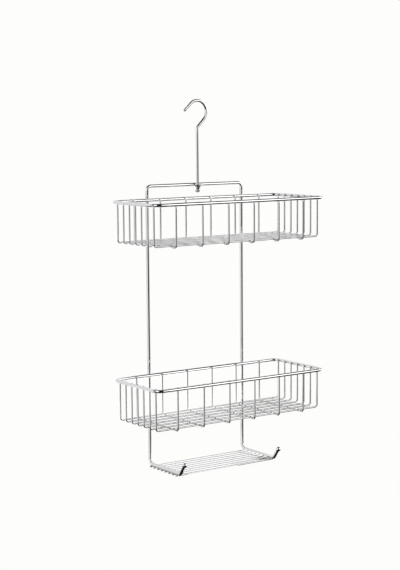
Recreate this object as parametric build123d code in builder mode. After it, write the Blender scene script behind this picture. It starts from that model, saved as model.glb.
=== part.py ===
"""Hanging shower caddy in bent and welded round wire.

Two wire baskets and a wire soap shelf hang on one bent back frame.  The
frame's top bar carries a small swivel eye, and a straight rod that ends in an
open hook passes down through that eye and is held by a ball nut.

X runs to the right along the wall, +Y into the wall, +Z up.  The origin is
the saddle of the hook, the point on its inner face that rests on top of the
shower arm.  All dimensions are millimetres.
"""
import os
from math import cos, radians, sin

from build123d import *

os.makedirs("parts", exist_ok=True)

# ---------------------------------------------------------------- wire sizes
FRAME_D = 6.0        # back frame wire
RIM_D = 6.0          # basket rim wire
THIN_D = 3.2         # basket and shelf filler wire
ROD_D = 5.0          # hanging rod and hook
EYE_D = 2.8          # swivel eye wire
BALL_D = 9.5         # ball nut and ball tips
SET_DOWN = 0.1       # how far two resistance-welded wires sink into each other

# ---------------------------------------------------------------------- hook
HOOK_R = 20.5        # centre-line radius of the hook
HOOK_OPEN = 42.0     # the free end leaves the arc this many degrees past the top
HOOK_TIP = 19.0      # straight length of the free end
KINK_R = 5.0         # bend where the hook's shank meets the rod
HOOK_CZ = ROD_D / 2 - HOOK_R           # centre of the hook's arc

# ---------------------------------------------------------------- back frame
LEG_X = 106.0        # legs, left and right of the middle
LEG_Y = 8.4          # plane of the legs, behind the rod
BAR_Z = -152.0       # top bar
BAR_BEND = 8.0       # bends from top bar to legs
RAIL_Z = -665.2      # shelf rails
RAIL_BEND = 9.0      # bends from legs to rails
RAIL_END_Y = -92.0   # where a rail turns up
TIP_BEND = 6.0
TIP_Y = -105.0       # centres of the ball tips
TIP_Z = -646.6
TIP_HOLE = 3.5       # depth of wire inside a ball tip

# ------------------------------------------------------------------- baskets
UPPER_RIM_Z = -177.0
LOWER_RIM_Z = -499.0
RIM_BACK_Y = LEG_Y - (FRAME_D + RIM_D) / 2 + SET_DOWN
RIM_DEPTH = 143.4    # front bar to back bar, centre to centre
RIM_FRONT_Y = RIM_BACK_Y - RIM_DEPTH
RIM_X = 184.9        # end bars, left and right of the middle
RIM_CORNER = 14.0
INSET = (RIM_D + THIN_D) / 2 - SET_DOWN    # thin wires stand inside the rim
FLOOR_DROP = 72.0    # rim centre down to the floor wires
WIRE_TOP = 2.4       # thin wires end this far above the rim's centre
WIRE_BEND = 5.0
CROSS_PITCH = 56.0   # front-to-back wires
CROSS_COUNT = 6
LONG_PITCH = 19.6    # left-to-right wires
LONG_COUNT = 7

# ---------------------------------------------------------------- soap shelf
SHELF_COUNT = 8
SHELF_PITCH = 12.27
SHELF_FIRST_Y = 3.4
SHELF_HALF = 110.0   # half the length of a shelf wire
SHELF_Z = RAIL_Z - (FRAME_D + THIN_D) / 2 + SET_DOWN

# ---------------------------------------------------------------- swivel eye
EYE_TILT = 22.0      # the eye slopes down towards the front
EYE_TAIL = 14.0      # half the length over its two tails
EYE_FOOT_R = 2.0     # bend from tail to loop
EYE_LOOP_R = ROD_D / 2 + 0.08 + EYE_D / 2
EYE_Y = LEG_Y - 4.2  # the tails lie along the top bar, just below its middle
EYE_Z = BAR_Z - 1.31
BALL_Z = -162.0      # centre of the ball nut

# ================================================================ hanging hook
# One wire: free end, round over the arm, back under the arm at 45 degrees to
# the middle, then the straight rod down into the ball nut.
tip_a = radians(HOOK_OPEN)
arc_mid_a = radians((135.0 - HOOK_OPEN) / 2)
over = (-HOOK_R * sin(tip_a), HOOK_CZ + HOOK_R * cos(tip_a))
crest = (HOOK_R * sin(arc_mid_a), HOOK_CZ + HOOK_R * cos(arc_mid_a))
under = (HOOK_R * sin(radians(135)), HOOK_CZ + HOOK_R * cos(radians(135)))
tip = (over[0] - HOOK_TIP * cos(tip_a), over[1] - HOOK_TIP * sin(tip_a))
kink_z = under[1] - under[0]
rod_end = (0.0, BALL_Z - 1.0)

with BuildPart() as hanging_hook:
    with BuildLine(Plane.XZ) as hook_path:
        Line(tip, over)
        ThreePointArc(over, crest, under)
        FilletPolyline(under, (0, kink_z), rod_end, radius=KINK_R)
    with BuildSketch(Plane(origin=hook_path.line @ 0, z_dir=hook_path.line % 0)):
        Circle(ROD_D / 2)
    sweep(path=hook_path.line)
    # the free end is rounded off
    with Locations((tip[0], 0, tip[1])):
        Sphere(ROD_D / 2)
hanging_hook.part.label = "hanging_hook"
export_step(hanging_hook.part, "parts/hanging_hook.step")

# The ball nut is driven onto the end of the rod.
with BuildPart() as hook_ball_nut:
    with Locations((0, 0, BALL_Z)):
        Sphere(BALL_D / 2)
    with BuildSketch(Plane.XY.offset(BALL_Z + BALL_D / 2)):
        Circle(ROD_D / 2)
    extrude(amount=-(BALL_D / 2 + 1.0), mode=Mode.SUBTRACT)
hook_ball_nut.part.label = "hook_ball_nut"
export_step(hook_ball_nut.part, "parts/hook_ball_nut.step")

# ================================================================== back frame
# One wire from ball tip to ball tip: upturned end, shelf rail, leg, top bar,
# and the same again on the other side.
with BuildPart() as back_frame:
    with BuildLine() as frame_path:
        FilletPolyline(
            (-LEG_X, TIP_Y, TIP_Z),
            (-LEG_X, RAIL_END_Y, RAIL_Z),
            (-LEG_X, LEG_Y, RAIL_Z),
            (-LEG_X, LEG_Y, BAR_Z),
            (LEG_X, LEG_Y, BAR_Z),
            (LEG_X, LEG_Y, RAIL_Z),
            (LEG_X, RAIL_END_Y, RAIL_Z),
            (LEG_X, TIP_Y, TIP_Z),
            radius=[TIP_BEND, RAIL_BEND, BAR_BEND, BAR_BEND, RAIL_BEND, TIP_BEND],
        )
    with BuildSketch(Plane(origin=frame_path.line @ 0, z_dir=frame_path.line % 0)):
        Circle(FRAME_D / 2)
    sweep(path=frame_path.line)
back_frame.part.label = "back_frame"
export_step(back_frame.part, "parts/back_frame.step")

# Ball tips, drilled for the wire's two ends.
stem = Vector(0, RAIL_END_Y - TIP_Y, RAIL_Z - TIP_Z).normalized()
for side, x in (("left", -LEG_X), ("right", LEG_X)):
    with BuildPart() as shelf_hook_tip:
        with Locations((x, TIP_Y, TIP_Z)):
            Sphere(BALL_D / 2)
        with BuildSketch(Plane(origin=(x, TIP_Y, TIP_Z), z_dir=stem)):
            Circle(FRAME_D / 2)
        extrude(amount=BALL_D, mode=Mode.SUBTRACT)
    shelf_hook_tip.part.label = f"shelf_hook_tip_{side}"
    export_step(shelf_hook_tip.part, f"parts/shelf_hook_tip_{side}.step")

# ================================================================== swivel eye
# A short wire bent to a U round the front of the rod, with a tail each side
# welded to the front of the top bar, which closes the eye at the back.
tilt = radians(EYE_TILT)
eye_plane = Plane(
    origin=(0, EYE_Y, EYE_Z), x_dir=(1, 0, 0), z_dir=(0, sin(tilt), -cos(tilt))
)
eye_front = (EYE_Y + EYE_LOOP_R) / cos(tilt)    # from the tails to the loop's front
eye_centre = eye_front - EYE_LOOP_R
foot_bulge = EYE_FOOT_R * (1 - cos(radians(45)))
with BuildPart() as swivel_eye:
    with BuildLine(eye_plane) as eye_path:
        Line((-EYE_TAIL, 0), (-EYE_LOOP_R - EYE_FOOT_R, 0))
        ThreePointArc(
            (-EYE_LOOP_R - EYE_FOOT_R, 0),
            (-EYE_LOOP_R - foot_bulge, foot_bulge),
            (-EYE_LOOP_R, EYE_FOOT_R),
        )
        Line((-EYE_LOOP_R, EYE_FOOT_R), (-EYE_LOOP_R, eye_centre))
        ThreePointArc((-EYE_LOOP_R, eye_centre), (0, eye_front), (EYE_LOOP_R, eye_centre))
        Line((EYE_LOOP_R, eye_centre), (EYE_LOOP_R, EYE_FOOT_R))
        ThreePointArc(
            (EYE_LOOP_R, EYE_FOOT_R),
            (EYE_LOOP_R + foot_bulge, foot_bulge),
            (EYE_LOOP_R + EYE_FOOT_R, 0),
        )
        Line((EYE_LOOP_R + EYE_FOOT_R, 0), (EYE_TAIL, 0))
    with BuildSketch(Plane(origin=eye_path.line @ 0, z_dir=eye_path.line % 0)):
        Circle(EYE_D / 2)
    sweep(path=eye_path.line)
swivel_eye.part.label = "swivel_eye"
export_step(swivel_eye.part, "parts/swivel_eye.step")

# ================================================================== soap shelf
# Straight wires welded to the underside of the rails, ends standing proud.
for n in range(SHELF_COUNT):
    y = SHELF_FIRST_Y - n * SHELF_PITCH
    with BuildPart() as shelf_wire:
        with BuildSketch(Plane.YZ.offset(-SHELF_HALF)):
            with Locations((y, SHELF_Z)):
                Circle(THIN_D / 2)
        extrude(amount=2 * SHELF_HALF)
    shelf_wire.part.label = f"soap_shelf_wire_{n + 1}"
    export_step(shelf_wire.part, f"parts/soap_shelf_wire_{n + 1}.step")

# ===================================================================== baskets
mid_y = (RIM_BACK_Y + RIM_FRONT_Y) / 2
for basket, rim_z in (("upper", UPPER_RIM_Z), ("lower", LOWER_RIM_Z)):
    floor_z = rim_z - FLOOR_DROP
    top_z = rim_z + WIRE_TOP

    # Rim: one heavy wire bent to a rounded rectangle and butt-welded.
    with BuildPart() as basket_rim:
        with BuildLine() as rim_path:
            FilletPolyline(
                (0, RIM_BACK_Y, rim_z),
                (-RIM_X, RIM_BACK_Y, rim_z),
                (-RIM_X, RIM_FRONT_Y, rim_z),
                (RIM_X, RIM_FRONT_Y, rim_z),
                (RIM_X, RIM_BACK_Y, rim_z),
                (0, RIM_BACK_Y, rim_z),
                radius=[0, RIM_CORNER, RIM_CORNER, RIM_CORNER, RIM_CORNER],
            )
        with BuildSketch(Plane(origin=(0, RIM_BACK_Y, rim_z), z_dir=(-1, 0, 0))):
            Circle(RIM_D / 2)
        sweep(path=rim_path.line)
    basket_rim.part.label = f"{basket}_basket_rim"
    export_step(basket_rim.part, f"parts/{basket}_basket_rim.step")

    # Front-to-back wires, lowest: up inside the back bar, under the floor and
    # up inside the front bar.
    back_y = RIM_BACK_Y - INSET
    front_y = RIM_FRONT_Y + INSET
    cross_z = floor_z - THIN_D + SET_DOWN
    for n in range(CROSS_COUNT):
        x = (n - (CROSS_COUNT - 1) / 2) * CROSS_PITCH
        with BuildPart() as cross_wire:
            with BuildLine() as cross_path:
                FilletPolyline(
                    (x, back_y, top_z),
                    (x, back_y, cross_z),
                    (x, front_y, cross_z),
                    (x, front_y, top_z),
                    radius=WIRE_BEND,
                )
            with BuildSketch(Plane(origin=(x, back_y, top_z), z_dir=(0, 0, -1))):
                Circle(THIN_D / 2)
            sweep(path=cross_path.line)
        cross_wire.part.label = f"{basket}_cross_wire_{n + 1}"
        export_step(cross_wire.part, f"parts/{basket}_cross_wire_{n + 1}.step")

    # Left-to-right wires, lying on the cross wires, back to front.
    end_x = RIM_X - INSET
    for n in range(LONG_COUNT):
        y = mid_y + ((LONG_COUNT - 1) / 2 - n) * LONG_PITCH
        with BuildPart() as long_wire:
            with BuildLine() as long_path:
                FilletPolyline(
                    (-end_x, y, top_z),
                    (-end_x, y, floor_z),
                    (end_x, y, floor_z),
                    (end_x, y, top_z),
                    radius=WIRE_BEND,
                )
            with BuildSketch(Plane(origin=(-end_x, y, top_z), z_dir=(0, 0, -1))):
                Circle(THIN_D / 2)
            sweep(path=long_path.line)
        long_wire.part.label = f"{basket}_long_wire_{n + 1}"
        export_step(long_wire.part, f"parts/{basket}_long_wire_{n + 1}.step")
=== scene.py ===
import math
import random

import bpy
import numpy as np
from mathutils import Matrix, Vector


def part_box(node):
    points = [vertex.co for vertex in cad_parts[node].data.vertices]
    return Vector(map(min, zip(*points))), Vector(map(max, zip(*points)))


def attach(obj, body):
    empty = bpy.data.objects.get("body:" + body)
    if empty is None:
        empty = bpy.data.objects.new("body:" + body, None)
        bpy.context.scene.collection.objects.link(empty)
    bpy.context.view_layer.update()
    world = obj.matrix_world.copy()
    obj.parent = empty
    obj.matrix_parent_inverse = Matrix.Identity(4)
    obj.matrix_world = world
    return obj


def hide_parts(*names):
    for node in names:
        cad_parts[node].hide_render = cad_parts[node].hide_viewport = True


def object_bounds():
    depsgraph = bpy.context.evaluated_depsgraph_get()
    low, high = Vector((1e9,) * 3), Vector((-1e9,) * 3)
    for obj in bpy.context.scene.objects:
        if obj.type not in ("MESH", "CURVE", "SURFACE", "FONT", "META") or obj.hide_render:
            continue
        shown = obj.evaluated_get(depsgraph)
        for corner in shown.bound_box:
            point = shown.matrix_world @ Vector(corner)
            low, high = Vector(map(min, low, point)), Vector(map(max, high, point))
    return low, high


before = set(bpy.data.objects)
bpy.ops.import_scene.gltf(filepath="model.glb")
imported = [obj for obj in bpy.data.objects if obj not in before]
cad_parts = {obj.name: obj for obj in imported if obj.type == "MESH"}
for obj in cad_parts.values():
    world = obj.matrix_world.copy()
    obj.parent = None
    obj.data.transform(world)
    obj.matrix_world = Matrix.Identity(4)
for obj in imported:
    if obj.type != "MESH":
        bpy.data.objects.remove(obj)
cad_lo, cad_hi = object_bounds()

MM = 0.001
THIN_R, HEAVY_R, ROD_R, EYE_R, BALL_R = 1.6 * MM, 3.0 * MM, 2.5 * MM, 1.4 * MM, 4.75 * MM
SET_DOWN = 0.1 * MM


# --------------------------------------------------------------- materials
def node(tree, kind, **inputs):
    n = tree.nodes.new(kind)
    for k, v in inputs.items():
        n.inputs[k.replace("_", " ")].default_value = v
    return n


def chrome(name, tint, rough_lo, rough_hi, grain, grain_depth, wave_scale, wave_depth):
    """Bright nickel-chrome plating on drawn wire: a mirror with a faint haze that
    comes and goes, the slow unevenness of a polished bar, and very fine drawing
    lines and pits under the plating."""
    m = bpy.data.materials.new(name)
    m.use_nodes = True
    t = m.node_tree
    b = t.nodes["Principled BSDF"]
    b.inputs["Metallic"].default_value = 1.0
    b.inputs["Base Color"].default_value = (*tint, 1.0)
    b.inputs["IOR"].default_value = 2.5
    co = t.nodes.new("ShaderNodeTexCoord")

    haze = node(t, "ShaderNodeTexNoise", Scale=90.0, Detail=4.0, Roughness=0.62)
    t.links.new(co.outputs["Object"], haze.inputs["Vector"])
    haze_map = node(t, "ShaderNodeMapRange", From_Min=0.35, From_Max=0.72, To_Min=rough_lo, To_Max=rough_hi)
    t.links.new(haze.outputs["Fac"], haze_map.inputs["Value"])
    t.links.new(haze_map.outputs["Result"], b.inputs["Roughness"])

    tone = node(t, "ShaderNodeTexNoise", Scale=35.0, Detail=2.0, Roughness=0.5)
    t.links.new(co.outputs["Object"], tone.inputs["Vector"])
    ramp = t.nodes.new("ShaderNodeValToRGB")
    ramp.color_ramp.elements[0].position = 0.30
    ramp.color_ramp.elements[0].color = (tint[0] * 0.965, tint[1] * 0.97, tint[2] * 0.985, 1)
    ramp.color_ramp.elements[1].position = 0.70
    ramp.color_ramp.elements[1].color = (*tint, 1)
    t.links.new(tone.outputs["Fac"], ramp.inputs["Fac"])
    t.links.new(ramp.outputs["Color"], b.inputs["Base Color"])

    wave = node(t, "ShaderNodeTexNoise", Scale=wave_scale, Detail=1.0, Roughness=0.4)
    t.links.new(co.outputs["Object"], wave.inputs["Vector"])
    bump1 = node(t, "ShaderNodeBump", Strength=1.0, Distance=wave_depth)
    t.links.new(wave.outputs["Fac"], bump1.inputs["Height"])
    pits = node(t, "ShaderNodeTexNoise", Scale=grain, Detail=3.0, Roughness=0.55)
    t.links.new(co.outputs["Object"], pits.inputs["Vector"])
    bump2 = node(t, "ShaderNodeBump", Strength=1.0, Distance=grain_depth)
    t.links.new(pits.outputs["Fac"], bump2.inputs["Height"])
    t.links.new(bump1.outputs["Normal"], bump2.inputs["Normal"])
    t.links.new(bump2.outputs["Normal"], b.inputs["Normal"])
    return m


chrome_heavy = chrome("chrome_heavy_wire", (0.86, 0.862, 0.858), 0.035, 0.075, 1400.0, 0.0000012, 55.0, 0.00003)
chrome_thin = chrome("chrome_thin_wire", (0.76, 0.762, 0.755), 0.05, 0.10, 1700.0, 0.0000012, 80.0, 0.00002)
chrome_rod = chrome("chrome_rod", (0.86, 0.862, 0.858), 0.035, 0.07, 1400.0, 0.0000012, 55.0, 0.00002)
chrome_ball = chrome("chrome_ball", (0.88, 0.885, 0.89), 0.025, 0.055, 1600.0, 0.0000010, 90.0, 0.00001)
chrome_weld = chrome("chrome_weld", (0.80, 0.80, 0.79), 0.12, 0.22, 900.0, 0.00001, 300.0, 0.00003)


# --------------------------------------------------------------- mesh tools
def fillet_path(points, radii, step=math.radians(7.5)):
    """Points along a polyline whose corners are rounded: straight runs keep a
    ring every 12 mm or so, arcs one every few degrees."""
    pts = [Vector(p) for p in points]
    out = []

    def run(a, b):
        n = max(1, round((b - a).length / 0.012))
        for i in range(n):
            out.append(a.lerp(b, i / n))

    cur = pts[0]
    for i in range(1, len(pts) - 1):
        p, r = pts[i], radii[i - 1]
        d0, d1 = (p - pts[i - 1]).normalized(), (pts[i + 1] - p).normalized()
        turn = d0.angle(d1)
        cut = r * math.tan(turn / 2)
        a, b = p - d0 * cut, p + d1 * cut
        run(cur, a)
        side = (d1 - d0 * d0.dot(d1)).normalized()
        centre = a + side * r
        k = max(2, math.ceil(turn / step))
        for j in range(k):
            ang = turn * j / k
            out.append(centre - side * (r * math.cos(ang)) + d0 * (r * math.sin(ang)))
        cur = b
    run(cur, pts[-1])
    out.append(pts[-1])
    return out


def tangents(path, closed):
    n = len(path)
    res = []
    for i in range(n):
        a = path[(i - 1) % n] if closed or i else path[0]
        b = path[(i + 1) % n] if closed or i < n - 1 else path[-1]
        res.append((b - a).normalized())
    return res


def tube_data(path, radius, sides, closed=False, ends=("round", "round"), end_r=None, radii=None):
    """Vertices and faces of a round tube along path, with parallel-transport
    rings. A cut end has a small turned edge; a domed end is a hemisphere."""
    tan = tangents(path, closed)
    up = Vector((0, 0, 1)) if abs(tan[0].z) < 0.9 else Vector((0, 1, 0))
    u = (up - tan[0] * up.dot(tan[0])).normalized()
    frames = []
    for i, t in enumerate(tan):
        if i:
            u = u - t * u.dot(t)
            u.normalize()
        frames.append((u.copy(), t.cross(u)))
    twist = 0.0
    if closed:
        u_end = (u - tan[0] * u.dot(tan[0])).normalized()
        twist = math.atan2(u_end.dot(frames[0][1]), u_end.dot(frames[0][0]))
    rings = []      # (centre, u, v, r)
    n = len(path)
    if not closed:
        rings += cap_rings(path[0], -tan[0], frames[0], radius if radii is None else radii[0], ends[0], end_r)[::-1]
    for i, p in enumerate(path):
        r = radius if radii is None else radii[i]
        a = -twist * i / n
        fu, fv = frames[i]
        rings.append((p, fu * math.cos(a) + fv * math.sin(a), fv * math.cos(a) - fu * math.sin(a), r))
    if not closed:
        rings += cap_rings(path[-1], tan[-1], frames[-1], radius if radii is None else radii[-1], ends[1], end_r)
    verts, faces = [], []
    for c, fu, fv, r in rings:
        for k in range(sides):
            a = 2 * math.pi * k / sides
            verts.append(c + fu * (r * math.cos(a)) + fv * (r * math.sin(a)))
    m = len(rings)
    for i in range(m if closed else m - 1):
        j = (i + 1) % m
        for k in range(sides):
            k2 = (k + 1) % sides
            faces.append((i * sides + k, i * sides + k2, j * sides + k2, j * sides + k))
    if not closed:
        for end, off, out in ((0, 0, -tan[0]), (1, (m - 1) * sides, tan[-1])):
            c = len(verts)
            verts.append(rings[0][0] if end == 0 else rings[-1][0])
            for k in range(sides):
                k2 = (k + 1) % sides
                faces.append((off + k2, off + k, c) if end == 0 else (off + k, off + k2, c))
    return verts, faces


def cap_rings(p, out, fr, r, kind, end_r):
    """Rings from the last full ring outwards: a hemisphere, or a cut face with a
    rounded edge that stays inside the wire's length."""
    res = []
    if kind == "dome":
        for j in range(1, 9):
            a = math.pi / 2 * j / 9
            res.append((p + out * (r * math.sin(a)), fr[0], fr[1], r * math.cos(a)))
    elif kind == "round":
        e = end_r or r * 0.35
        base = p - out * e
        for j in range(0, 5):
            a = math.pi / 2 * j / 4
            res.append((base + out * (e * math.sin(a)), fr[0], fr[1], r - e + e * math.cos(a)))
        res.append((p.copy(), fr[0], fr[1], (r - e) * 0.5))
    elif kind == "open":
        pass
    return res


def trim_for_round(path, e0, e1):
    """Drops path points closer to the ends than the rounded edge, so its rings
    don't fold back."""
    path = list(path)
    if e0:
        while len(path) > 2 and (path[1] - path[0]).length < e0 * 1.5:
            path.pop(1)
    if e1:
        while len(path) > 2 and (path[-2] - path[-1]).length < e1 * 1.5:
            path.pop(-2)
    return path


def make(name, verts, faces, mat, smooth=True):
    me = bpy.data.meshes.new(name)
    me.from_pydata([tuple(v) for v in verts], [], faces)
    me.validate()
    me.update()
    for p in me.polygons:
        p.use_smooth = smooth
    ob = bpy.data.objects.new(name, me)
    bpy.context.scene.collection.objects.link(ob)
    me.materials.append(mat)
    return ob


def tube(name, path, radius, sides, mat, body, nodes, closed=False, ends=("round", "round"), end_r=None):
    if not closed:
        # the rounded cut ends sit inside the path's last straight run
        full = []
        for i, k in enumerate(ends):
            full.append((end_r or radius * 0.35) if k == "round" else 0)
        path = trim_for_round(path, full[0], full[1])
        body_path = list(path)
        if full[0]:
            d = (path[1] - path[0]).normalized()
            body_path[0] = path[0] + d * full[0]
        if full[1]:
            d = (path[-2] - path[-1]).normalized()
            body_path[-1] = path[-1] + d * full[1]
        verts, faces = tube_data_caps(body_path, path[0], path[-1], radius, sides, ends, end_r)
    else:
        verts, faces = tube_data(path, radius, sides, closed=True)
    ob = make(name, verts, faces, mat)
    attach(ob, body)
    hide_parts(*nodes)
    return ob


def tube_data_caps(path, p0, p1, radius, sides, ends, end_r):
    tan = tangents(path, False)
    up = Vector((0, 0, 1)) if abs(tan[0].z) < 0.9 else Vector((0, 1, 0))
    u = (up - tan[0] * up.dot(tan[0])).normalized()
    frames = []
    for i, t in enumerate(tan):
        if i:
            u = (u - t * u.dot(t)).normalized()
        frames.append((u.copy(), t.cross(u)))
    rings = cap_rings(p0, -tan[0], frames[0], radius, ends[0], end_r)[::-1]
    if ends[0] == "round":
        rings = rings[:-1]          # its widest ring is the path's first ring
    for i, p in enumerate(path):
        rings.append((p, frames[i][0], frames[i][1], radius))
    last = cap_rings(p1, tan[-1], frames[-1], radius, ends[1], end_r)
    rings += last[1:] if ends[1] == "round" else last
    verts, faces = [], []
    for c, fu, fv, r in rings:
        for k in range(sides):
            a = 2 * math.pi * k / sides
            verts.append(c + fu * (r * math.cos(a)) + fv * (r * math.sin(a)))
    m = len(rings)
    for i in range(m - 1):
        for k in range(sides):
            k2 = (k + 1) % sides
            faces.append((i * sides + k, i * sides + k2, (i + 1) * sides + k2, (i + 1) * sides + k))
    tip0 = rings[0][0] - tan[0] * (radius * (1 - math.cos(math.pi / 18)) if ends[0] == "dome" else 0)
    tip1 = rings[-1][0] + tan[-1] * (radius * (1 - math.cos(math.pi / 18)) if ends[1] == "dome" else 0)
    c0, c1 = len(verts), len(verts) + 1
    verts += [tip0, tip1]
    for k in range(sides):
        k2 = (k + 1) % sides
        faces.append((k2, k, c0))
        faces.append(((m - 1) * sides + k, (m - 1) * sides + k2, c1))
    return verts, faces


def lathe_data(profile, origin, axis, sides):
    """Revolves (radius, height) points about axis through origin."""
    axis = Vector(axis).normalized()
    up = Vector((1, 0, 0)) if abs(axis.x) < 0.9 else Vector((0, 1, 0))
    u = (up - axis * up.dot(axis)).normalized()
    v = axis.cross(u)
    verts, faces, rows = [], [], []
    for r, h in profile:
        if r < 1e-9:
            rows.append([len(verts)])
            verts.append(Vector(origin) + axis * h)
        else:
            rows.append(list(range(len(verts), len(verts) + sides)))
            for k in range(sides):
                a = 2 * math.pi * k / sides
                verts.append(Vector(origin) + axis * h + u * (r * math.cos(a)) + v * (r * math.sin(a)))
    for a, b in zip(rows, rows[1:]):
        for k in range(sides):
            k2 = (k + 1) % sides
            if len(a) == 1:
                faces.append((a[0], b[k], b[k2])[::-1])
            elif len(b) == 1:
                faces.append((a[k], b[0], a[k2])[::-1])
            else:
                faces.append((a[k], a[k2], b[k2], b[k]))
    return verts, faces


# --------------------------------------------------------------- weld metal
class Welds:
    """Collects the small fillets of metal that resistance welding squeezes out
    between two crossing wires, or along two wires that lie side by side."""

    def __init__(self, seed):
        self.v, self.f = [], []
        self.rng = random.Random(seed)

    def cross(self, c, a, b, n, ra, rb, rho=1.25 * MM):
        """c: where the surfaces meet; a, b: the two wires' directions; n: from
        wire a's middle towards wire b's."""
        a, b, n, c = Vector(a), Vector(b), Vector(n), Vector(c)
        rho *= self.rng.uniform(0.92, 1.12)
        off = self.rng.uniform(0, 6.28)
        sides, base = 28, len(self.v)
        rows = ((1.30, 0.0, -0.004), (1.12, 0.10, 0.0), (0.98, 0.34, 0.0), (0.93, 0.5, 0.0), (0.98, 0.66, 0.0), (1.12, 0.90, 0.0), (1.30, 1.0, 0.004))
        for k_r, t, lift in rows:
            for k in range(sides):
                phi = 2 * math.pi * k / sides
                wob = 1 + 0.05 * math.sin(3 * phi + off) + 0.03 * math.sin(5 * phi + 2 * off)
                r = rho * k_r * wob
                s, q = r * math.sin(phi), r * math.cos(phi)
                ha = -ra + math.sqrt(max(ra * ra - s * s, 0)) + SET_DOWN / 2
                hb = rb - math.sqrt(max(rb * rb - q * q, 0)) - SET_DOWN / 2
                self.v.append(c + a * q + b * s + n * (ha + (hb - ha) * t - lift * MM * 3))
        m = len(rows)
        for i in range(m - 1):
            for k in range(sides):
                k2 = (k + 1) % sides
                self.f.append((base + i * sides + k, base + i * sides + k2, base + (i + 1) * sides + k2, base + (i + 1) * sides + k))

    def bead(self, p0, p1, r):
        """A short bead of weld metal with tapering ends, lying in the notch
        between two parallel wires."""
        p0, p1 = Vector(p0), Vector(p1)
        n, sides, base = 22, 14, len(self.v)
        d = (p1 - p0).normalized()
        up = Vector((0, 0, 1)) if abs(d.z) < 0.9 else Vector((0, 1, 0))
        u = (up - d * up.dot(d)).normalized()
        w = d.cross(u)
        for i in range(n + 1):
            t = i / n
            rr = r * (max(0.0, 1 - abs(2 * t - 1) ** 3) ** 0.5) * (1 + 0.10 * math.sin(t * 19 + r * 9e3)) + 1e-6
            for k in range(sides):
                a = 2 * math.pi * k / sides
                self.v.append(p0.lerp(p1, t) + u * (rr * math.cos(a)) + w * (rr * math.sin(a)))
        for i in range(n):
            for k in range(sides):
                k2 = (k + 1) % sides
                self.f.append((base + i * sides + k, base + i * sides + k2, base + (i + 1) * sides + k2, base + (i + 1) * sides + k))
        for ring, flip in ((0, True), (n, False)):
            loop = [base + ring * sides + k for k in range(sides)]
            self.f.append(tuple(loop[::-1] if flip else loop))

    def done(self, name, body):
        ob = make(name, self.v, self.f, chrome_weld)
        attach(ob, body)
        return ob


X, Y, Z = Vector((1, 0, 0)), Vector((0, 1, 0)), Vector((0, 0, 1))


def mid(node_name):
    lo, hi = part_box(node_name)
    return (lo + hi) / 2, lo, hi


# --------------------------------------------------------------- hook and rod
c, lo, hi = mid("hanging_hook")
hook_r = hi.x - ROD_R
hook_cz = hi.z - ROD_R - hook_r
open_a = math.radians(42)
over = Vector((-hook_r * math.sin(open_a), 0, hook_cz + hook_r * math.cos(open_a)))
tip_len = (over.x - (lo.x + ROD_R)) / math.cos(open_a)
tip = over - Vector((math.cos(open_a), 0, math.sin(open_a))) * tip_len
path = []
n = 6
for i in range(n):
    path.append(tip.lerp(over, i / n))
n = 32
a0, a1 = -open_a, math.radians(135)
for i in range(n + 1):
    a = a0 + (a1 - a0) * i / n
    path.append(Vector((hook_r * math.sin(a), 0, hook_cz + hook_r * math.cos(a))))
under = path[-1]
kink = Vector((0, 0, under.z - under.x))
rest = fillet_path([under, kink, Vector((0, 0, lo.z + 0.0006))], [5 * MM])
path += rest[1:]
tube("hanging_hook_wire", path, ROD_R, 36, chrome_rod, "hook", ["hanging_hook"], ends=("dome", "round"))


# --------------------------------------------------------------- balls
def ball(name, centre, axis, wire_r, nodes, body):
    """A turned ball on the end of a wire. axis points from the ball up its wire:
    a short neck, the ball, and a small flat where it was parted off."""
    prof = []
    a_neck = math.acos((wire_r + 0.35 * MM) / BALL_R)
    for i in range(5):                          # the bore's rounded lip
        t = i / 4 * math.pi / 2
        prof.append((wire_r - 0.1 * MM + 0.45 * MM * math.sin(t) * 1.0, BALL_R * math.sin(a_neck) - 0.35 * MM + 0.35 * MM * math.cos(math.pi / 2 - t)))
    m = 40
    flat = math.radians(-80)
    for i in range(1, m + 1):
        a = a_neck + (flat - a_neck) * i / m
        prof.append((BALL_R * math.cos(a), BALL_R * math.sin(a)))
    prof.append((BALL_R * math.cos(flat) * 0.6, -BALL_R * math.sin(-flat) - 0.02 * MM))
    prof.append((0.0, -BALL_R * math.sin(-flat) - 0.03 * MM))
    verts, faces = lathe_data(prof, centre, axis, 56)
    ob = make(name, verts, [f[::-1] for f in faces], chrome_ball)
    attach(ob, body)
    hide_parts(*nodes)
    return ob


c, lo, hi = mid("hook_ball_nut")
ball("hook_ball", Vector((0, 0, lo.z + BALL_R)), Z, ROD_R, ["hook_ball_nut"], "hook")

# --------------------------------------------------------------- back frame
_, flo, fhi = mid("back_frame")
leg_x = fhi.x - HEAVY_R
leg_y = fhi.y - HEAVY_R
bar_z = fhi.z - HEAVY_R
rail_z = flo.z + HEAVY_R
ball_c = {}
for side, s in (("left", -1), ("right", 1)):
    c, lo, hi = mid("shelf_hook_tip_" + side)
    ball_c[s] = Vector((s * leg_x, lo.y + BALL_R, hi.z - BALL_R))
tip_dir = Vector((0, -13.0, 18.6)).normalized()
rail_end_y = ball_c[1].y + (ball_c[1].z - rail_z) * 13.0 / 18.6
pts, s = [], -1
start = ball_c[-1]
pts = [
    start,
    Vector((-leg_x, rail_end_y, rail_z)),
    Vector((-leg_x, leg_y, rail_z)),
    Vector((-leg_x, leg_y, bar_z)),
    Vector((leg_x, leg_y, bar_z)),
    Vector((leg_x, leg_y, rail_z)),
    Vector((leg_x, rail_end_y, rail_z)),
    ball_c[1],
]
path = fillet_path(pts, [6 * MM, 9 * MM, 8 * MM, 8 * MM, 9 * MM, 6 * MM])
tube("back_frame_wire", path, HEAVY_R, 40, chrome_heavy, "caddy", ["back_frame"])
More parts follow.
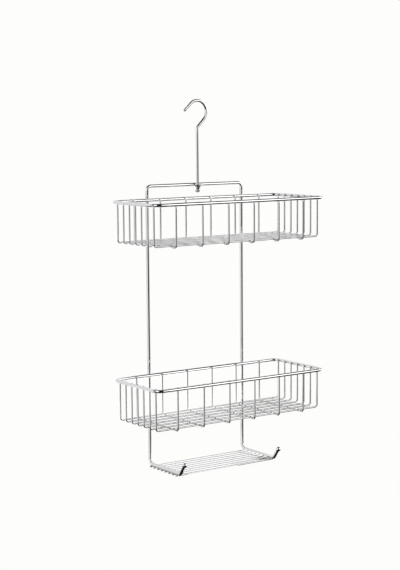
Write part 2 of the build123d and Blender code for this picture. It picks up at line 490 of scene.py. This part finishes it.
for side, s in (("left", -1), ("right", 1)):
    ball("shelf_hook_ball_" + side, ball_c[s], -tip_dir, HEAVY_R, ["shelf_hook_tip_" + side], "caddy")

# --------------------------------------------------------------- swivel eye
_, elo, ehi = mid("swivel_eye")
eye_tail = ehi.x
eye_y = ehi.y - EYE_R
eye_z = ehi.z - EYE_R
tilt = math.radians(22)
fwd = Vector((0, -math.cos(tilt), -math.sin(tilt)))
loop_r = ROD_R + 0.08 * MM + EYE_R
front = (eye_y + loop_r) / math.cos(tilt)
centre = front - loop_r
o = Vector((0, eye_y, eye_z))


def on_eye(x, f):
    return o + X * x + fwd * f


foot = 2 * MM
left = fillet_path([on_eye(-eye_tail, 0), on_eye(-loop_r, 0), on_eye(-loop_r, centre)], [foot], math.radians(9))
path = left[:-1]
n = 26
for i in range(n + 1):
    a = math.pi * i / n
    path.append(on_eye(-loop_r * math.cos(a), centre + loop_r * math.sin(a)))
right = [on_eye(-(p.x), (p - o).dot(fwd)) for p in left[:-1]][::-1]
path += right
tube("swivel_eye_wire", path, EYE_R, 28, chrome_thin, "caddy", ["swivel_eye"])
fw = Welds(3)
# weld metal between the eye's tails and the top bar, above and below
d = Vector((0, eye_y - leg_y, eye_z - bar_z)).normalized()
perp = Vector((0, -d.z, d.y))
contact = Vector((0, leg_y, bar_z)) + d * HEAVY_R
for sx in (-1, 1):
    for sp in (-1, 1):
        off = contact + perp * (sp * 0.95 * MM) + d * (0.12 * MM)
        fw.bead(off + X * (sx * 7.0 * MM), off + X * (sx * 12.6 * MM), 0.55 * MM)

# --------------------------------------------------------------- soap shelf
for i in range(1, 9):
    c, lo, hi = mid(f"soap_shelf_wire_{i}")
    p0, p1 = Vector((lo.x, c.y, c.z)), Vector((hi.x, c.y, c.z))
    tube(f"soap_shelf_bar_{i}", fillet_path([p0, p1], []), THIN_R, 24, chrome_thin, "caddy", [f"soap_shelf_wire_{i}"], end_r=0.5 * MM)
    for s in (-1, 1):
        if c.y < leg_y - 9 * MM:
            fw.cross((s * leg_x, c.y, rail_z - HEAVY_R + SET_DOWN / 2), Y, X, -Z, HEAVY_R, THIN_R)
        else:
            fw.cross((s * leg_x, c.y, rail_z - HEAVY_R + SET_DOWN / 2 + 0.2 * MM), Y, X, -Z, HEAVY_R, THIN_R)

# --------------------------------------------------------------- baskets
for basket in ("upper", "lower"):
    bw = Welds(11 if basket == "upper" else 12)
    c, rlo, rhi = mid(basket + "_basket_rim")
    rz = c.z
    x1, y0, y1 = rhi.x - HEAVY_R, rlo.y + HEAVY_R, rhi.y - HEAVY_R
    corner = 14 * MM
    ring = fillet_path(
        [Vector((0, y1, rz)), Vector((-x1, y1, rz)), Vector((-x1, y0, rz)), Vector((x1, y0, rz)), Vector((x1, y1, rz)), Vector((0, y1, rz))],
        [corner] * 4,
    )[:-1]
    tube(basket + "_rim_wire", ring, HEAVY_R, 40, chrome_heavy, "caddy", [basket + "_basket_rim"], closed=True)
    for s in (-1, 1):
        fw.cross((s * leg_x, y1 + HEAVY_R - SET_DOWN / 2, rz), X, Z, Y, HEAVY_R, HEAVY_R, 1.7 * MM)
    floor_long = None
    cross_x, long_y = [], []
    for i in range(1, 7):
        c, lo, hi = mid(f"{basket}_cross_wire_{i}")
        zb, yb0, yb1 = lo.z + THIN_R, lo.y + THIN_R, hi.y - THIN_R
        cross_x.append(c.x)
        p = fillet_path([Vector((c.x, yb1, hi.z)), Vector((c.x, yb1, zb)), Vector((c.x, yb0, zb)), Vector((c.x, yb0, hi.z))], [5 * MM] * 2)
        tube(f"{basket}_cross_bar_{i}", p, THIN_R, 24, chrome_thin, "caddy", [f"{basket}_cross_wire_{i}"], end_r=0.5 * MM)
        bw.cross((c.x, y1 - HEAVY_R + SET_DOWN / 2, rz), X, Z, -Y, HEAVY_R, THIN_R)
        bw.cross((c.x, y0 + HEAVY_R - SET_DOWN / 2, rz), X, Z, Y, HEAVY_R, THIN_R)
        cross_top = zb + THIN_R
    for i in range(1, 8):
        c, lo, hi = mid(f"{basket}_long_wire_{i}")
        zb, xb = lo.z + THIN_R, hi.x - THIN_R
        long_y.append(c.y)
        p = fillet_path([Vector((-xb, c.y, hi.z)), Vector((-xb, c.y, zb)), Vector((xb, c.y, zb)), Vector((xb, c.y, hi.z))], [5 * MM] * 2)
        tube(f"{basket}_long_bar_{i}", p, THIN_R, 24, chrome_thin, "caddy", [f"{basket}_long_wire_{i}"], end_r=0.5 * MM)
        bw.cross((-x1 + HEAVY_R - SET_DOWN / 2, c.y, rz), Y, Z, X, HEAVY_R, THIN_R)
        bw.cross((x1 - HEAVY_R + SET_DOWN / 2, c.y, rz), Y, Z, -X, HEAVY_R, THIN_R)
    for x in cross_x:
        for y in long_y:
            bw.cross((x, y, cross_top - SET_DOWN / 2), Y, X, Z, THIN_R, THIN_R, 1.0 * MM)
    bw.done(basket + "_basket_welds", "caddy")
fw.done("frame_welds", "caddy")

# --------------------------------------------------------------- stage
FLOOR_Z = cad_lo.z - 3.0


def stage_floor():
    """A flat pale floor, 28 m square, three metres below the caddy; the plating doesn't mirror it."""
    me = bpy.data.meshes.new("studio_floor")
    n, size = 24, 14.0
    verts, faces = [], []
    for i in range(n + 1):
        for j in range(n + 1):
            verts.append((-size + 2 * size * i / n, -size + 2 * size * j / n, FLOOR_Z))
    for i in range(n):
        for j in range(n):
            a = i * (n + 1) + j
            faces.append((a, a + n + 1, a + n + 2, a + 1))
    me.from_pydata(verts, [], faces)
    ob = bpy.data.objects.new("studio_floor", me)
    bpy.context.scene.collection.objects.link(ob)
    m = bpy.data.materials.new("pale_floor")
    m.use_nodes = True
    t = m.node_tree
    b = t.nodes["Principled BSDF"]
    b.inputs["Base Color"].default_value = (0.99, 0.99, 0.985, 1)
    b.inputs["Roughness"].default_value = 0.9
    b.inputs["Specular IOR Level"].default_value = 0.0
    b.inputs["Emission Color"].default_value = (1.0, 1.0, 0.985, 1)
    b.inputs["Emission Strength"].default_value = 0.008
    me.materials.append(m)
    ob.visible_glossy = False
    return ob


stage_floor()


# Lights of the studio as mirrored by the plating: azimuth from, to, elevation
# from, to (degrees, azimuth 0 = straight in front, 90 = on the right), brightness.
PATCHES = (
    (12, 100, 0, 33, 2.00),
    (33, 38.5, -14.5, 0.5, 1.80),
    (70, 100, -18, 0.5, 0.95),
    (-86, -46, 0, 46, 1.50),
    (-86, -46, -18, 0.5, 0.95),
    (-98, -86, -18, 0, 0.80),
    (-165, -98, -18, 3, 0.85),
    (-165, -98, 3, 35, 0.35),
    (100, 160, -18, 2, 0.65),
)
DARK = 0.015


def studio_world():
    """A dark studio with soft boxes round the caddy, seen only in the plating:
    polished wire mirrors the gaps between them as black lines. The camera sees an
    even soft white behind everything."""
    w = bpy.data.worlds.new("studio")
    bpy.context.scene.world = w
    w.use_nodes = True
    t = w.node_tree
    t.nodes.clear()
    out = t.nodes.new("ShaderNodeOutputWorld")
    co = t.nodes.new("ShaderNodeTexCoord")
    sep = t.nodes.new("ShaderNodeSeparateXYZ")
    t.links.new(co.outputs["Generated"], sep.inputs[0])

    def math_node(op, a, b=None):
        n = t.nodes.new("ShaderNodeMath")
        n.operation = op
        for i, v in enumerate((a, b)):
            if v is None:
                continue
            if isinstance(v, (int, float)):
                n.inputs[i].default_value = v
            else:
                t.links.new(v, n.inputs[i])
        return n.outputs[0]

    def step(v, at, soft):
        n = t.nodes.new("ShaderNodeMapRange")
        n.interpolation_type = "SMOOTHSTEP"
        n.inputs["From Min"].default_value = at - soft
        n.inputs["From Max"].default_value = at + soft
        n.inputs["To Min"].default_value = 0
        n.inputs["To Max"].default_value = 1
        t.links.new(v, n.inputs["Value"])
        return n.outputs[0]

    def band(v, lo, hi, soft):
        return math_node("MULTIPLY", step(v, lo, soft), math_node("SUBTRACT", 1.0, step(v, hi, soft)))

    x, y, z = sep.outputs[0], sep.outputs[1], sep.outputs[2]
    az = math_node("MULTIPLY", math_node("ARCTAN2", x, math_node("MULTIPLY", y, -1.0)), 180 / math.pi)
    el = math_node("MULTIPLY", math_node("ARCSINE", z), 180 / math.pi)
    lum = None
    for a0, a1, e0, e1, value in PATCHES:
        p = math_node("MULTIPLY", math_node("MULTIPLY", band(az, a0, a1, 2.0), band(el, e0, e1, 2.0)), value)
        lum = p if lum is None else math_node("MAXIMUM", lum, p)
    lum = math_node("MAXIMUM", lum, DARK)
    comb = t.nodes.new("ShaderNodeCombineColor")
    for k in range(3):
        t.links.new(lum, comb.inputs[k])
    bg_mirror = t.nodes.new("ShaderNodeBackground")
    t.links.new(comb.outputs[0], bg_mirror.inputs["Color"])
    bg_soft = t.nodes.new("ShaderNodeBackground")
    bg_soft.inputs["Color"].default_value = (0.985, 0.985, 0.970, 1)
    path = t.nodes.new("ShaderNodeLightPath")
    mix = t.nodes.new("ShaderNodeMixShader")
    t.links.new(path.outputs["Is Glossy Ray"], mix.inputs[0])
    t.links.new(bg_soft.outputs[0], mix.inputs[1])
    t.links.new(bg_mirror.outputs[0], mix.inputs[2])
    t.links.new(mix.outputs[0], out.inputs["Surface"])
    w.cycles.sampling_method = "MANUAL"
    w.cycles.sample_map_resolution = 256


studio_world()


def card(name, corner, ea, eb, value, clear_within=0.0, lit_within=50.0):
    """A flat reflector that only the plating sees, and only from its lit side:
    the one that ea x eb points to. Plating nearer than clear_within, or further
    than lit_within, looks through it."""
    corner, ea, eb = Vector(corner), Vector(ea), Vector(eb)
    n = 4
    verts = [corner + ea * (i / n) + eb * (j / n) for i in range(n + 1) for j in range(n + 1)]
    faces = []
    for i in range(n):
        for j in range(n):
            a = i * (n + 1) + j
            faces.append((a, a + n + 1, a + n + 2, a + 1))
    me = bpy.data.meshes.new(name)
    me.from_pydata([tuple(v) for v in verts], [], faces)
    ob = bpy.data.objects.new(name, me)
    bpy.context.scene.collection.objects.link(ob)
    m = bpy.data.materials.new(name)
    m.use_nodes = True
    t = m.node_tree
    t.nodes.clear()
    out = t.nodes.new("ShaderNodeOutputMaterial")
    em = t.nodes.new("ShaderNodeEmission")
    em.inputs["Color"].default_value = (value, value, value, 1)
    clear = t.nodes.new("ShaderNodeBsdfTransparent")
    side = t.nodes.new("ShaderNodeNewGeometry")
    mix = t.nodes.new("ShaderNodeMixShader")
    path = t.nodes.new("ShaderNodeLightPath")
    close = t.nodes.new("ShaderNodeMath")
    close.operation = "LESS_THAN"
    close.inputs[1].default_value = clear_within
    t.links.new(path.outputs["Ray Length"], close.inputs[0])
    either = t.nodes.new("ShaderNodeMath")
    either.operation = "MAXIMUM"
    t.links.new(side.outputs["Backfacing"], either.inputs[0])
    t.links.new(close.outputs[0], either.inputs[1])
    far = t.nodes.new("ShaderNodeMath")
    far.operation = "GREATER_THAN"
    far.inputs[1].default_value = lit_within
    t.links.new(path.outputs["Ray Length"], far.inputs[0])
    any_of = t.nodes.new("ShaderNodeMath")
    any_of.operation = "MAXIMUM"
    t.links.new(either.outputs[0], any_of.inputs[0])
    t.links.new(far.outputs[0], any_of.inputs[1])
    t.links.new(any_of.outputs[0], mix.inputs[0])
    t.links.new(em.outputs[0], mix.inputs[1])
    t.links.new(clear.outputs[0], mix.inputs[2])
    t.links.new(mix.outputs[0], out.inputs["Surface"])
    me.materials.append(m)
    ob.visible_camera = False
    ob.visible_diffuse = False
    ob.visible_transmission = False
    ob.visible_shadow = False
    return ob


# The pale wall the caddy hangs against, with the darker stretches that show as
# lines along the back bars and at the bends.
WALL = cad_hi.y + 0.0012
up_z, lo_z = (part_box("upper_basket_rim")[0].z + HEAVY_R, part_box("lower_basket_rim")[0].z + HEAVY_R)
up_floor, lo_floor = (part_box("upper_long_wire_1")[0].z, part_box("lower_long_wire_1")[0].z)
for i, (x0, x1, z0, z1, value) in enumerate((
    (-0.42, -0.14, up_floor - 0.008, 0.04, 0.82),
    (-0.42, -0.14, rail_z - 0.007, lo_floor - 0.020, 0.82),
    (-0.42, -0.205, lo_floor - 0.020, lo_floor + 0.032, 0.82),
    (-0.205, -0.14, lo_floor - 0.020, lo_floor + 0.032, 1.40),
    (-0.42, -0.14, lo_floor + 0.032, up_floor - 0.094, 0.82),
    (-0.14, 0.11, bar_z - 0.010, bar_z - 0.0003, 1.20),
    (-0.14, 0.11, up_floor - 0.075, up_z - 0.001, 0.82),
    (-0.14, -0.10, lo_z + 0.029, up_floor - 0.075, 0.82),
    (-0.14, 0.11, lo_floor + 0.004, lo_z - 0.001, 1.60),
    (-0.14, 0.11, lo_floor - 0.020, lo_floor + 0.004, 1.40),
    (-0.14, 0.11, rail_z - 0.007, lo_floor - 0.020, 0.82),
    (0.11, 0.42, up_z - 0.001, 0.04, 0.82),
    (0.05, 0.11, up_z + 0.014, bar_z - 0.010, 0.82),
    (0.05, 0.11, bar_z + 0.016, 0.04, 0.82),
    (0.11, 0.42, up_z - 0.060, up_z - 0.001, 0.75),
    (0.11, 0.42, rail_z - 0.007, up_floor - 0.060, 0.82),
    (-0.14, -0.02, bar_z + 0.022, 0.04, 0.82),
    (-0.200, -0.092, rail_z - 0.090, rail_z - 0.007, 0.70),
    (0.040, 0.135, rail_z - 0.070, rail_z - 0.007, 0.55),
)):
    card(f"wall_card_{i + 1}", (x0, WALL, z0), (x1 - x0, 0, 0), (0, 0, z1 - z0), value, 3.5 * MM)
card("shelf_card_1", (-0.082, -0.088, rail_z - 0.0095), (0.112, 0, 0), (0, 0.028, 0), 1.30)
card("shelf_card_2", (-0.082, -0.060, rail_z - 0.0095), (0.200, 0, 0), (0, 0.070, 0), 1.30)
card("shelf_card_3", (0.030, -0.078, rail_z - 0.0095), (0.060, 0, 0), (0, 0.018, 0), 1.30)
elo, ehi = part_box("swivel_eye")
rod_c = (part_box("hook_ball_nut")[0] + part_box("hook_ball_nut")[1]) / 2
# Painted shade: black cards that only the plating sees, in an arc round the front and sides of the rod level with the
# eye loop, so the eye loop's front and the top of the ball mirror black.
ring = [Vector((rod_c.x + 0.010 * math.sin(math.radians(a)), rod_c.y - 0.010 * math.cos(math.radians(a)), ehi.z - 0.0075))
        for a in (85, 50, 15, -20, -55, -90)]
for i in range(len(ring) - 1):
    card(f"eye_painted_shade_flag_{i + 1}", ring[i], ring[i + 1] - ring[i], (0, 0, 0.0070), 0.0)
card("upper_basket_card", (-0.168, -0.120, up_floor - 0.005), (0.340, 0, 0), (0, 0.123, 0), 1.60, 0.0, 15 * MM)


# --------------------------------------------------------------- camera
cam_data = bpy.data.cameras.new("camera")
cam = bpy.data.objects.new("camera", cam_data)
bpy.context.scene.collection.objects.link(cam)
cam_data.sensor_width = 36.0
cam_data.lens = 1443.03 * 36.0 / 570.0
right_v = Vector((0.82091, -0.571006, -0.007695))
up_v = Vector((0.073043, 0.091627, 0.993111))
back_v = right_v.cross(up_v)
cam.matrix_world = Matrix((
    (right_v.x, up_v.x, back_v.x, -1.521995),
    (right_v.y, up_v.y, back_v.y, -2.197580),
    (right_v.z, up_v.z, back_v.z, -0.024482),
    (0, 0, 0, 1),
))
cam_data.clip_start, cam_data.clip_end = 0.05, 60
bpy.context.scene.camera = cam
bpy.context.scene.view_settings.view_transform = "Standard"
bpy.context.scene.view_settings.look = "None"
